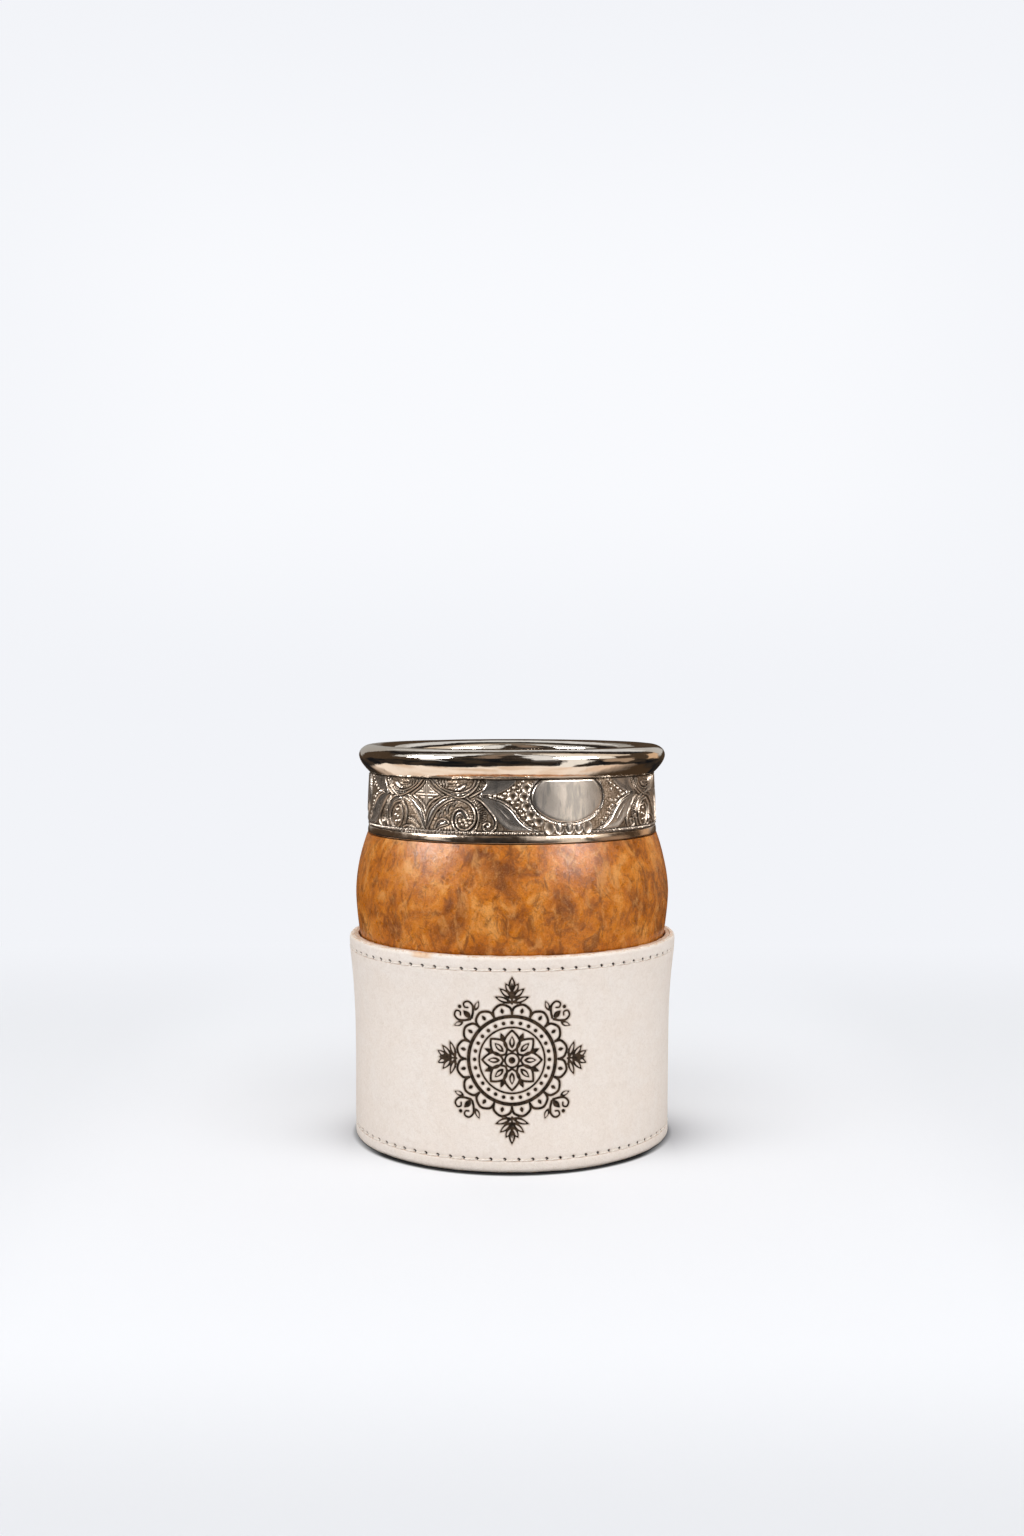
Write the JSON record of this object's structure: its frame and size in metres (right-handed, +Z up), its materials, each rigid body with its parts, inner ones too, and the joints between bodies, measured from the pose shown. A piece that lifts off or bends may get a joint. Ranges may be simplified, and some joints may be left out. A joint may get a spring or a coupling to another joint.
{
  "type": "mate gourd in a leather sleeve",
  "caption": "Round calabash drinking cup with a chased metal ferrule and rolled rim, standing in a short hand-stitched leather sleeve that it lifts out of.",
  "frame": {"origin": "centre of the outsole's underside, where the cup stands on the table", "axes": "+Z up along the axis that the cup is round about, -Y to the front with the panel of the sleeve, +X to the right seen from the front"},
  "size_m": [0.0949, 0.095, 0.1114],
  "materials": {
    "gourd_skin": "lacquered mottled calabash",
    "polished_nickel_silver": "mirror polished nickel silver",
    "chased_nickel_silver": "chased and darkened nickel silver",
    "cement": "set plaster cement",
    "cream_leather": "smooth cream leather",
    "tan_leather": "raw vegetable tanned leather",
    "black_leather": "black sole leather",
    "waxed_thread": "waxed linen thread"
  },
  "bodies": {
    "sleeve": {"sleeve_wall": "cream_leather", "sleeve_lining": "tan_leather", "base_pan": "tan_leather", "outsole": "black_leather", "top_stitching": "waxed_thread", "bottom_stitching": "waxed_thread", "back_lace": "cream_leather"},
    "gourd": {"gourd_shell": "gourd_skin", "lower_ring": "polished_nickel_silver", "chased_band": "chased_nickel_silver", "rolled_rim": "polished_nickel_silver", "inner_collar": "polished_nickel_silver", "rim_cement": "cement"}
  },
  "joints": [
    {"name": "gourd_lift", "type": "slide", "parent": "sleeve", "child": "gourd", "axis": [0, 0, 1], "range_m": [0, 0.06]}
  ]
}
